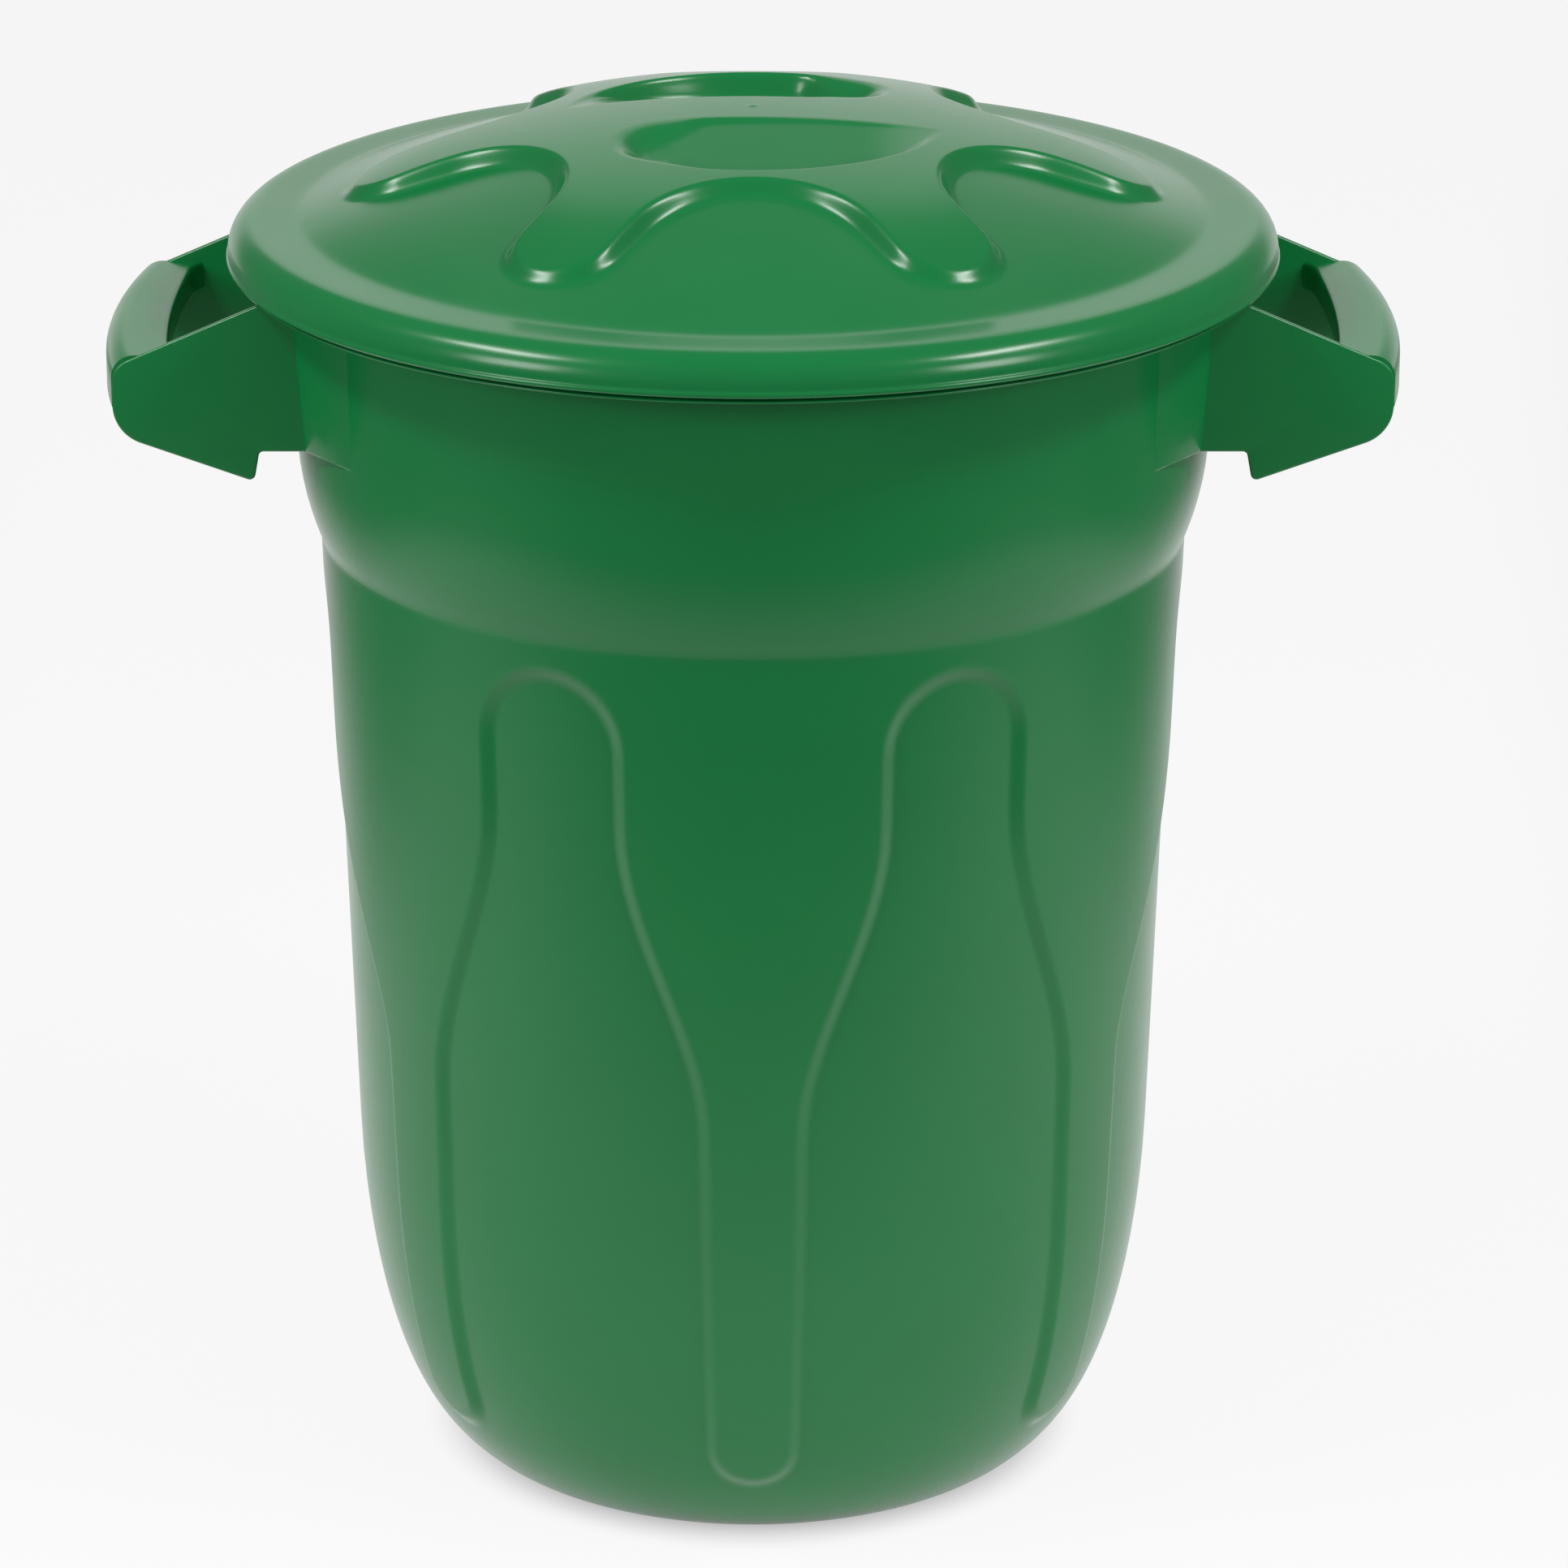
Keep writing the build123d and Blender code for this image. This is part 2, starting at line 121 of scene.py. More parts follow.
def mouldedPolypropylene(name, sizes):
    material = bpy.data.materials.new(name)
    material.use_nodes = True
    tree = material.node_tree
    tree.nodes.clear()
    where = addNode(tree, "ShaderNodeTexCoord").outputs["Object"]
    flow = addNode(tree, "ShaderNodeTexNoise", {}, {
        "Vector": where, "Scale": 1 / (sizes["flowSize"] * mm), "Detail": 3.0, "Roughness": 0.5})
    peel = addNode(tree, "ShaderNodeTexNoise", {}, {
        "Vector": where, "Scale": 1 / (sizes["peelSize"] * mm), "Detail": 1.5, "Roughness": 0.45})
    tint = addNode(tree, "ShaderNodeMix", {"data_type": "RGBA"}, {
        "Factor": flow.outputs["Fac"], "A": toLinear(sizes["colour"]), "B": toLinear(sizes["thinColour"])})
    gloss = addRange(tree, "LINEAR", flow.outputs["Fac"], *sizes["flowRange"], *sizes["roughness"])
    bump = addNode(tree, "ShaderNodeBump", {}, {
        "Strength": sizes["peelStrength"], "Distance": sizes["peelHeight"] * mm,
        "Height": peel.outputs["Fac"]})
    shader = addNode(tree, "ShaderNodeBsdfPrincipled", {}, {
        "Base Color": tint.outputs["Result"], "Roughness": gloss,
        "IOR": sizes["ior"], "Normal": bump.outputs["Normal"]})
    addNode(tree, "ShaderNodeOutputMaterial", {}, {"Surface": shader.outputs["BSDF"]})
    return material


tubPlastic = mouldedPolypropylene("mouldedPolypropyleneTub", plastic)
lidPlastic = mouldedPolypropylene("mouldedPolypropyleneLid", plastic)
print("materials made")


def bezier(corners, count):
    t = np.linspace(0, 1, count)[:, None]
    a, b, c, d = [np.array(p, float) for p in corners]
    return (1 - t) ** 3 * a + 3 * (1 - t) ** 2 * t * b + 3 * (1 - t) * t ** 2 * c + t ** 3 * d


def arc(centre, radius, start, end, count):
    # degrees, 0 along the first axis
    angles = np.radians(np.linspace(start, end, count))
    return np.stack([centre[0] + radius * np.cos(angles), centre[1] + radius * np.sin(angles)], 1)


def turnedMesh(profile, azimuths):
    # sweeps (radius, height) points round the axis; a point on the axis becomes one closed pole
    points, faces, rings = [], [], []
    for radius, height in profile:
        if radius < 1e-6:
            rings.append([len(points)] * len(azimuths))
            points.append((0, 0, height))
            continue
        rings.append(list(range(len(points), len(points) + len(azimuths))))
        for azimuth in azimuths:
            points.append((radius * math.sin(azimuth), -radius * math.cos(azimuth), height))
    for low, high in zip(rings, rings[1:]):
        for i in range(len(azimuths)):
            k = (i + 1) % len(azimuths)
            loop = [low[i], low[k], high[k], high[i]]
            faces.append([v for n, v in enumerate(loop) if v not in loop[:n]])
    return points, faces


# Tub
tub = {
    "wall": 3.2, "baseRadius": 145.0, "recessRadius": 112.0, "recessDepth": 4.0, "recessEdge": 0.8,
    "cornerRadius": 218.7, "cornerHeight": 183.5, "basePull": 51.0, "sidePull": 82.7,
    "waistRadius": 229.0, "waistHeight": 517.6, "waistRound": 1.6,
    "bulgeRadius": 240.3, "bulgeHeight": 545.0,
    "collarRadius": 240.8, "collarHeight": 575.0, "mouthRadius": 242.5,
    "rimHeight": 683.9, "rimRadius": 271.4, "rimDepth": 21.3, "rimShoulder": 12.9,
    "rimSetBack": 3.2, "rimBead": 1.4,      # the band above the lip's bead stands back
}
flutes = {
    "depth": 4.0, "stepWidth": 9.0,
    "ribAzimuth": 54.6, "ribHalfWidth": 24.4, "ribFootHalfWidth": 21.8,
    "ribFootHeight": 44.0, "footHeight": 186.0, "bodyHeight": 254.0, "neckHeight": 420.0,
    "neckHalfWidth": 38.2, "topHeight": 499.4, "fadeStart": 145.0, "fadeEnd": 175.0,
    "band": 1.5,        # degrees of closely spaced columns each side of a step
}


def tubProfile(sizes):
    wall = sizes["wall"]
    taper = (sizes["waistRadius"] - sizes["cornerRadius"]) / (sizes["waistHeight"] - sizes["cornerHeight"])
    samples = 1500

    def corner(inset, lift):
        pull = sizes["sidePull"] - lift
        end = (sizes["cornerRadius"] - inset, sizes["cornerHeight"])
        return bezier([
            (sizes["baseRadius"], lift), (sizes["baseRadius"] + sizes["basePull"] - inset, lift),
            (end[0] - taper * pull, end[1] - pull), end], samples)

    def along(curve, shares):
        return [tuple(curve[int((samples - 1) * share)]) for share in shares]

    def atHeights(curve, heights):
        return [(np.interp(z, curve[:, 1], curve[:, 0]), z) for z in heights]

    def sideAt(z, inset):
        return (sizes["cornerRadius"] + taper * (z - sizes["cornerHeight"]) - inset, z)

    recess, depth, edge = sizes["recessRadius"], sizes["recessDepth"], sizes["recessEdge"]
    outside = [(0, depth), (recess - 20, depth), (recess - edge, depth), (recess, depth - edge)]
    outside += [(recess, edge), (recess + edge, 0), (130, 0)]
    low = corner(0, 0)
    outside += along(low, (0, 0.04, 0.08, 0.12, 0.16, 0.2, 0.24, 0.28, 0.32))
    footRows = list(np.arange(38, 76, 2.2))
    outside += atHeights(low, [33] + footRows + [82, 91, 102, 115, 129, 145, 163, 183.5])
    archRows = list(np.arange(456, 511, 2.0))
    outside += [sideAt(z, 0) for z in list(np.arange(194, 450, 11.3)) + archRows]
    waist = (sizes["waistRadius"], sizes["waistHeight"])
    bulge = (sizes["bulgeRadius"], sizes["bulgeHeight"])
    collar = (sizes["collarRadius"], sizes["collarHeight"])
    t = np.array([0.06, 0.12, 0.2, 0.3, 0.42, 0.56, 0.7, 0.85, 1.0])[:, None]
    swell = (1 - t) ** 2 * np.array(waist) + 2 * (1 - t) * t * np.array(bulge) + t ** 2 * np.array(collar)
    crease = sizes["waistRound"]
    outside += [sideAt(waist[1] - 2.5 * crease, 0), sideAt(waist[1] - crease, 0)]
    outside += [(waist[0] + 0.12 * crease, waist[1])] + [tuple(p) for p in swell]
    mouth, rimTop = sizes["mouthRadius"], sizes["rimHeight"]
    outside += [(collar[0] + (mouth - collar[0]) * s, collar[1] + (rimTop - collar[1]) * s)
                for s in (0.2, 0.45, 0.7, 0.88)]

    lipInner, lipOuter = sizes["rimRadius"] - wall, sizes["rimRadius"]
    band, bead = lipOuter - sizes["rimSetBack"], sizes["rimBead"]
    bend = (band - sizes["rimShoulder"], rimTop - sizes["rimShoulder"])
    lip, under = rimTop - sizes["rimDepth"], rimTop - wall
    outside += [tuple(p) for p in arc((mouth + 3.4, under - 3.4), 3.4, 180, 90, 5)]
    outside += [tuple(p) for p in arc(bend, sizes["rimShoulder"] - wall, 90, 0, 7)]
    outside += [(band - wall, lip + bead + 1.6), (lipInner - 0.3, lip + bead), (lipInner, lip + 0.6)]
    outside += [(lipInner + 0.2, lip + 0.2), (lipInner + 0.6, lip)]
    outside += [tuple(p) for p in arc((lipOuter - bead / 2, lip + bead / 2), bead / 2, -90, 90, 7)]
    outside += [(band + 0.4, lip + bead + 0.1), (band, lip + bead + 0.5)]
    outside += [tuple(p) for p in arc(bend, sizes["rimShoulder"], 0, 90, 9)]
    inner = mouth - wall
    outside += [(inner + 8, rimTop)] + [tuple(p) for p in arc((inner + 2.5, rimTop - 2.5), 2.5, 90, 180, 5)]

    inside = [(collar[0] + (mouth - collar[0]) * s - wall, collar[1] + (rimTop - collar[1]) * s)
              for s in (0.8, 0.5, 0.25)]
    inside += [(p[0] - wall, p[1]) for p in swell[::-2]]
    inside += [sideAt(waist[1] - 2, wall)]
    inside += [sideAt(z, wall) for z in list(np.arange(510, 456, -4.0)) + list(np.arange(446, 190, -15.5))]
    lift = wall + depth
    floorCurve = corner(wall, lift)
    inside += atHeights(floorCurve, [183.5, 160, 136, 114, 96, 84] + list(np.arange(76, 38, -5.2)) + [32])
    inside += along(floorCurve, (0.3, 0.24, 0.18, 0.12, 0.06, 0)) + [(120, lift), (0, lift)]
    return outside + inside


def fluteLayout(sizes, footRadius):
    # where each flute's middle and edges lie, from the ribs between them
    half = math.asin(sizes["ribHalfWidth"] / footRadius)
    rib = math.radians(sizes["ribAzimuth"])
    return {"rib": rib, "frontMiddle": rib / 2, "frontSpread": rib / 2 - half,
            "sideSpread": math.pi / 2 - rib - half}


def tubColumns(layout, band):
    # one quarter from the front to the side, close together at the steps, then mirrored all round
    middle, rib = layout["frontMiddle"], layout["rib"]
    marks = [0.0]

    def run(end, count):
        marks.extend(np.linspace(marks[-1], end, count + 1)[1:])

    run(middle - layout["frontSpread"] - band, 9)
    run(middle - layout["frontSpread"] + band, 10)
    run(middle + layout["frontSpread"] - band, 32)
    run(middle + layout["frontSpread"] + band, 10)
    run(rib, 8)
    run(math.pi / 2 - layout["sideSpread"] - band, 8)
    run(math.pi / 2 - layout["sideSpread"] + band, 10)
    run(math.pi / 2, 21)
    quarter = np.array(marks)
    half = np.concatenate([quarter, math.pi - quarter[-2::-1]])
    return np.concatenate([half, 2 * math.pi - half[-2:0:-1]])


def fluteTree(material):
    # presses the bottle-shaped flutes into whatever turned shell it is given
    tree = bpy.data.node_groups.new("pressedFlutes", "GeometryNodeTree")
    tree.interface.new_socket("Geometry", in_out="INPUT", socket_type="NodeSocketGeometry")
    tree.interface.new_socket("Geometry", in_out="OUTPUT", socket_type="NodeSocketGeometry")
    names = ["depth", "stepWidth", "rib", "frontMiddle", "frontSpread", "sideSpread",
             "frontHalfWidth", "sideHalfWidth", "ribHalfWidth", "ribFootHalfWidth", "ribFootHeight",
             "footHeight", "bodyHeight", "neckHeight", "neckHalfWidth", "topHeight",
             "fadeStart", "fadeEnd", "band"]
    for name in names:
        tree.interface.new_socket(name, in_out="INPUT", socket_type="NodeSocketFloat")
    start = addNode(tree, "NodeGroupInput")
    values = {name: start.outputs[name] for name in names}
    position = addNode(tree, "GeometryNodeInputPosition")
    split = addNode(tree, "ShaderNodeSeparateXYZ", {}, {0: position.outputs[0]})
    values.update(x=split.outputs[0], y=split.outputs[1], z=split.outputs[2])
    quarterTurn = math.pi / 2
    # each line is: result, operation, operands; "range" lines are: value, from, from, to, to
    steps = [
        ("across", "ABSOLUTE", "x"), ("forward", "MULTIPLY", "y", -1.0),
        ("azimuth", "ARCTAN2", "across", "forward"),
        ("fromSide", "SUBTRACT", "azimuth", quarterTurn), ("fromSide", "ABSOLUTE", "fromSide"),
        ("folded", "SUBTRACT", quarterTurn, "fromSide"),
        ("isSide", "GREATER_THAN", "folded", "rib"), ("isInner", "LESS_THAN", "folded", "frontMiddle"),
        ("step", "SUBTRACT", quarterTurn, "frontMiddle"),
        ("middle", "MULTIPLY_ADD", "isSide", "step", "frontMiddle"),
        ("step", "SUBTRACT", "sideSpread", "frontSpread"),
        ("spread", "MULTIPLY_ADD", "isSide", "step", "frontSpread"),
        ("step", "SUBTRACT", "sideHalfWidth", "frontHalfWidth"),
        ("bodyHalf", "MULTIPLY_ADD", "isSide", "step", "frontHalfWidth"),
        ("step", "SUBTRACT", 1.0, "isInner"), ("ribHere", "MULTIPLY", "step", "rib"),
        ("gap", "SUBTRACT", "middle", "ribHere"), ("gap", "ABSOLUTE", "gap"),
        ("offset", "SUBTRACT", "folded", "middle"),
        ("side", "SIGN", "offset"), ("away", "ABSOLUTE", "offset"),
        ("square", "MULTIPLY", "x", "x"), ("square", "MULTIPLY_ADD", "y", "y", "square"),
        ("radius", "SQRT", "square"),
        # edge of the flute at this height: bottle body, shoulder and neck, or the rib's own edge
        ("footMiddle", "ADD", "ribFootHeight", "ribFootHalfWidth"),
        ("ribHalf", "range", "z", "footMiddle", "footHeight", "ribFootHalfWidth", "ribHalfWidth"),
        ("width", "smooth", "z", "bodyHeight", "neckHeight", "bodyHalf", "neckHalfWidth"),
        ("share", "DIVIDE", "width", "radius"), ("edge", "ARCSINE", "share"),
        ("share", "DIVIDE", "ribHalf", "radius"), ("share", "ARCSINE", "share"),
        ("share", "SUBTRACT", "gap", "share"), ("edge", "MINIMUM", "edge", "share"),
        # slide the columns so that the close ones stay on the edge
        ("from", "SUBTRACT", "spread", "band"), ("to", "SUBTRACT", "edge", "band"),
        ("slid", "range", "away", 0.0, "from", 0.0, "to"),
        ("twice", "ADD", "band", "band"), ("until", "ADD", "spread", "band"),
        ("more", "range", "away", "from", "until", 0.0, "twice"), ("slid", "ADD", "slid", "more"),
        ("to", "SUBTRACT", "gap", "edge"), ("to", "SUBTRACT", "to", "band"),
        ("more", "range", "away", "until", "gap", 0.0, "to"), ("slid", "ADD", "slid", "more"),
        # distance into the flute: straight edges, round arch above, round rib feet below
        ("inside", "SUBTRACT", "edge", "slid"), ("inside", "MULTIPLY", "inside", "radius"),
        ("lateral", "MULTIPLY", "slid", "radius"), ("archMiddle", "SUBTRACT", "topHeight", "neckHalfWidth"),
        ("above", "SUBTRACT", "z", "archMiddle"), ("square", "MULTIPLY", "lateral", "lateral"),
        ("square", "MULTIPLY_ADD", "above", "above", "square"), ("reach", "SQRT", "square"),
        ("arch", "SUBTRACT", "neckHalfWidth", "reach"), ("step", "SUBTRACT", "arch", "inside"),
        ("isArch", "GREATER_THAN", "z", "archMiddle"),
        ("inside", "MULTIPLY_ADD", "isArch", "step", "inside"),
        ("lateral", "SUBTRACT", "gap", "slid"), ("lateral", "MULTIPLY", "lateral", "radius"),
        ("below", "SUBTRACT", "footMiddle", "z"), ("square", "MULTIPLY", "lateral", "lateral"),
        ("square", "MULTIPLY_ADD", "below", "below", "square"), ("reach", "SQRT", "square"),
        ("foot", "SUBTRACT", "reach", "ribFootHalfWidth"), ("step", "SUBTRACT", "foot", "inside"),
        ("isFoot", "LESS_THAN", "z", "footMiddle"),
        ("inside", "MULTIPLY_ADD", "isFoot", "step", "inside"),
        ("half", "MULTIPLY", "stepWidth", 0.5), ("minus", "MULTIPLY", "half", -1.0),
        ("press", "smooth", "inside", "minus", "half", 0.0, "depth"),
        ("fade", "smooth", "radius", "fadeStart", "fadeEnd", 0.0, 1.0),
        ("press", "MULTIPLY", "press", "fade"), ("pressed", "SUBTRACT", "radius", "press"),
        ("turn", "MULTIPLY_ADD", "side", "slid", "middle"),
        ("sine", "SINE", "turn"), ("cosine", "COSINE", "turn"),
        ("xSide", "SIGN", "x"), ("ySide", "SIGN", "y"),
        ("newX", "MULTIPLY", "pressed", "sine"), ("newX", "MULTIPLY", "newX", "xSide"),
        ("newY", "MULTIPLY", "pressed", "cosine"), ("newY", "MULTIPLY", "newY", "ySide"),
    ]
    for result, operation, *operands in steps:
        operands = [values.get(item, item) for item in operands]
        if operation in ("range", "smooth"):
            values[result] = addRange(tree, "LINEAR" if operation == "range" else "SMOOTHSTEP", *operands)
        else:
            values[result] = addMath(tree, operation, *operands)
    place = addNode(tree, "ShaderNodeCombineXYZ", {}, {
        "X": values["newX"], "Y": values["newY"], "Z": values["z"]})
    moved = addNode(tree, "GeometryNodeSetPosition", {}, {
        "Geometry": start.outputs["Geometry"], "Position": place.outputs[0]})
    real = addNode(tree, "GeometryNodeRealizeInstances", {}, {0: moved.outputs[0]})
    dressed = addNode(tree, "GeometryNodeSetMaterial", {}, {
        "Geometry": real.outputs[0], "Material": material})
    addNode(tree, "NodeGroupOutput", {}, {0: dressed.outputs[0]})
    return tree


def pressFlutes(shell, tree, values):
    modifier = shell.modifiers.new("flutes", "NODES")
    modifier.node_group = tree
    for item in tree.interface.items_tree:
        if item.in_out == "INPUT" and item.name in values:
            modifier[item.identifier] = float(values[item.name])
    shell.update_tag()
    evaluated = shell.evaluated_get(bpy.context.evaluated_depsgraph_get())
    pressed = bpy.data.meshes.new_from_object(evaluated)
    shell.modifiers.clear()
    shell.data = pressed


layout = fluteLayout(flutes, tub["cornerRadius"])
footRadius = tub["cornerRadius"] * mm
fluteValues = {name: value * mm for name, value in flutes.items()}
fluteValues.update(layout)
fluteValues["band"] = math.radians(flutes["band"])
fluteValues["frontHalfWidth"] = footRadius * math.sin(layout["frontSpread"])
fluteValues["sideHalfWidth"] = footRadius * math.sin(layout["sideSpread"])
tubPoints, tubFaces = turnedMesh(tubProfile(tub), tubColumns(layout, fluteValues["band"]))
tubPiece = pieceFrom("tubShell", tubPoints, tubFaces, tubPlastic)
pressFlutes(tubPiece, fluteTree(tubPlastic), fluteValues)
print("tub pressed,", len(tubPiece.data.polygons), "faces")


# Handles, with the pads that thicken the collar where they start
handle = {
    "halfWidth": 92.0, "plate": 4.0, "plateEdge": 1.2,
    "rootHeight": 667.8, "topSlope": 23.4, "reach": 329.5,
    "lowHeight": 592.7, "lowSlope": 19.7, "topRound": 12.0, "lowRound": 21.0,
    "hookReach": 257.5, "hookRound": 3.0, "notchReach": 254.5, "notchHeight": 583.1, "notchRound": 2.5,
    "inward": 225.0,
    "gripReach": 338.5, "gripHeight": 634.5, "gripWall": 3.2, "gripInner": 304.5, "gripInnerEnd": 299.0,
    "gripSkirt": 606.0, "gripLip": 620.0, "gripTopRound": 12.0, "gripLipRound": 3.0,
    "gripFlare": 7.0, "gripFlareLength": 16.0,
    "padLow": 231.6, "padHigh": 238.4, "padTop": 679.0, "padFlank": 45.0, "padRound": 1.6,
    "padRun": 28.0,          # how far a pad goes on from the plate towards the middle of the grip
    "padInside": 239.9,      # radius within the collar's wall, so that nothing shows inside the tub
}


def roundedOutline(corners):
    # corners are (x, z, radius); each is cut by an arc of that radius
    outline = []
    for i, (x, z, radius) in enumerate(corners):
        here = np.array([x, z])
        before = np.array(corners[i - 1][:2]) - here
        after = np.array(corners[(i + 1) % len(corners)][:2]) - here
        before, after = before / np.linalg.norm(before), after / np.linalg.norm(after)
        half = math.acos(np.clip(before @ after, -1, 1)) / 2
        if radius <= 0:
            outline.append(here)
            continue
        bisector = (before + after) / np.linalg.norm(before + after)
        centre = here + bisector * radius / math.sin(half)
        first = here + before * radius / math.tan(half) - centre
        last = here + after * radius / math.tan(half) - centre
        a0, a1 = math.atan2(first[1], first[0]), math.atan2(last[1], last[0])
        turn = (a1 - a0 + math.pi) % (2 * math.pi) - math.pi
        for t in np.linspace(0, 1, max(5, int(abs(turn) * radius / 1.2) + 2)):
            outline.append(centre + radius * np.array([math.cos(a0 + turn * t), math.sin(a0 + turn * t)]))
    return np.array(outline)


def unit(vectors):
    return vectors / np.linalg.norm(vectors, axis=1)[:, None]


def insetOutline(outline, distance):
    before, after = unit(outline - np.roll(outline, 1, 0)), unit(np.roll(outline, -1, 0) - outline)
    sideA = np.stack([-before[:, 1], before[:, 0]], 1)
    sideB = np.stack([-after[:, 1], after[:, 0]], 1)
    middle = unit(sideA + sideB)
    stretch = 1 / np.clip((middle * sideA).sum(1), 0.5, 1)
    return outline + middle * (distance * stretch)[:, None]


def tubeFaces(rings, count):
    # joins each closed ring of points to the next, and closes both ends
    faces = []
    for first in range(0, (rings - 1) * count, count):
        for i in range(count):
            j = (i + 1) % count
            faces.append([first + i, first + j, first + count + j, first + count + i])
    return faces + [list(range(count))[::-1], list(range((rings - 1) * count, rings * count))]


def slab(outline, low, high, edge, place):
    # a flat plate between two levels with rounded edges; place turns (x, z, level) into a point
    area = np.sum(outline[:, 0] * np.roll(outline[:, 1], -1) - np.roll(outline[:, 0], -1) * outline[:, 1])
    if area < 0:
        outline = outline[::-1]
    rings = []
    for angle in (0, 22.5, 45, 67.5, 90):
        a = math.radians(angle)
        rings.append((edge * (1 - math.sin(a)), low + edge * (1 - math.cos(a))))
    rings += [(inset, low + high - level) for inset, level in rings[::-1]]
    points = [place(x, z, level) for inset, level in rings for x, z in insetOutline(outline, inset)]
    return points, tubeFaces(len(rings), len(outline))


def plateCorners(sizes):
    fall, rise = math.tan(math.radians(sizes["topSlope"])), math.tan(math.radians(sizes["lowSlope"]))
    topOuter = sizes["rootHeight"] - fall * (sizes["reach"] - sizes["padHigh"])
    topInner = sizes["rootHeight"] + fall * (sizes["padHigh"] - sizes["inward"])
    hookLow = sizes["lowHeight"] - rise * (sizes["reach"] - sizes["hookReach"])
    return [
        (sizes["inward"], topInner, 0),
        (sizes["reach"], topOuter, sizes["topRound"]),
        (sizes["reach"], sizes["lowHeight"], sizes["lowRound"]),
        (sizes["hookReach"], hookLow, sizes["hookRound"]),
        (sizes["notchReach"], sizes["notchHeight"], sizes["notchRound"]),
        (sizes["inward"], sizes["notchHeight"], 0),
    ]


def gripSection(sizes, inner, outer):
    # closed outline of (reach, height): domed top, outer skirt, hollow below, short inner lip
    wall, top, round_ = sizes["gripWall"], sizes["gripHeight"], sizes["gripTopRound"]
    lip = sizes["gripLipRound"]
    section = list(arc((outer - round_, top - round_), round_, 90, 0, 12))
    section += [(outer, sizes["gripSkirt"] + 1.2), (outer - 0.5, sizes["gripSkirt"] + 0.3)]
    section += [(outer - 1.6, sizes["gripSkirt"]), (outer - wall + 0.5, sizes["gripSkirt"] + 0.3)]
    section += [(outer - wall, sizes["gripSkirt"] + 1.2)]
    section += list(arc((outer - round_, top - round_), round_ - wall, 0, 90, 9))
    section += [(inner + wall + 1, top - wall), (inner + wall, top - wall - 1)]
    section += [(inner + wall, sizes["gripLip"] + 1), (inner + wall - 0.6, sizes["gripLip"])]
    section += [(inner + 0.6, sizes["gripLip"]), (inner, sizes["gripLip"] + 1)]
    section += list(arc((inner + lip, top - lip), lip, 180, 90, 7))
    middle = (inner + outer) / 2
    section += [((inner + lip + middle) / 2, top), (middle, top), ((middle + outer - round_) / 2, top)]
    return section


def bowed(sizes, end, middle, y):
    # reach of a shallow arc that is fullest half way between the plates
    sag, half = middle - end, sizes["halfWidth"]
    radius = (half ** 2 + sag ** 2) / (2 * sag)
    return middle - radius + math.sqrt(radius ** 2 - y ** 2)


def padMesh(sizes, side, end):
    # swells out of the collar: a plane behind the plate that leans outwards, then a long flank
    # back to the collar; its hidden side stays within the collar's wall
    half = sizes["halfWidth"]
    across = np.concatenate([np.linspace(half - sizes["padRun"], half - 6, 5), np.linspace(half - 4, half + 4, 7),
                             np.linspace(half + 8, half + sizes["padFlank"], 9)])
    inner = np.sqrt(sizes["padInside"] ** 2 - across ** 2)
    low, rise = sizes["notchHeight"], sizes["padTop"] - sizes["notchHeight"]
    # share of the height, and how full the pad is there
    levels = ((0, 0.72), (0.003, 0.9), (0.012, 1), (0.25, 1), (0.5, 1), (0.75, 1), (1, 1))
    points = []
    for share, fullness in levels:
        flat = sizes["padLow"] + (sizes["padHigh"] - sizes["padLow"]) * share
        flank = flat + (inner[-1] - flat) * (across - half) / sizes["padFlank"]
        reach = 0.5 * (flat + flank - np.sqrt((flat - flank) ** 2 + sizes["padRound"] ** 2))
        reach = inner + np.maximum(reach - inner, 0.01) * fullness
        ring = list(zip(reach, across)) + list(zip(inner, across))[::-1]
        points += [(side * x, end * y, low + rise * share) for x, y in ring]
    count = len(ring)
    faces = tubeFaces(len(levels), count)[:-2]
    for first in (0, (len(levels) - 1) * count):
        faces += [[first + i, first + i + 1, first + count - 2 - i, first + count - 1 - i]
                  for i in range(len(across) - 1)]
    return points, faces


def handleMesh(sizes, side):
    points, faces = [], []

    def add(part):
        first = len(points)
        points.extend(part[0])
        faces.extend([[v + first for v in face] for face in part[1]])

    outline = roundedOutline(plateCorners(sizes))
    for low, high in ((-sizes["halfWidth"], sizes["plate"] - sizes["halfWidth"]),
                      (sizes["halfWidth"] - sizes["plate"], sizes["halfWidth"])):
        add(slab(outline, low, high, sizes["plateEdge"], lambda x, z, level: (side * x, level, z)))
    stations = np.linspace(-sizes["halfWidth"] + 1.5, sizes["halfWidth"] - 1.5, 61)
    gripPoints = []
    for y in stations:
        flare = max(0, 1 - (sizes["halfWidth"] - abs(y)) / sizes["gripFlareLength"])
        inner = bowed(sizes, sizes["gripInnerEnd"], sizes["gripInner"], y) - sizes["gripFlare"] * flare ** 2
        outer = bowed(sizes, sizes["reach"], sizes["gripReach"], y)
        section = gripSection(sizes, inner, outer)
        gripPoints += [(side * x, y, z) for x, z in section]
    add((gripPoints, tubeFaces(len(stations), len(section))))
    for end in (-1, 1):
        add(padMesh(sizes, side, end))
    return points, faces


def outwardNormals(piece):
    shape = bmesh.new()
    shape.from_mesh(piece.data)
    bmesh.ops.recalc_face_normals(shape, faces=shape.faces)
    shape.to_mesh(piece.data)
    shape.free()


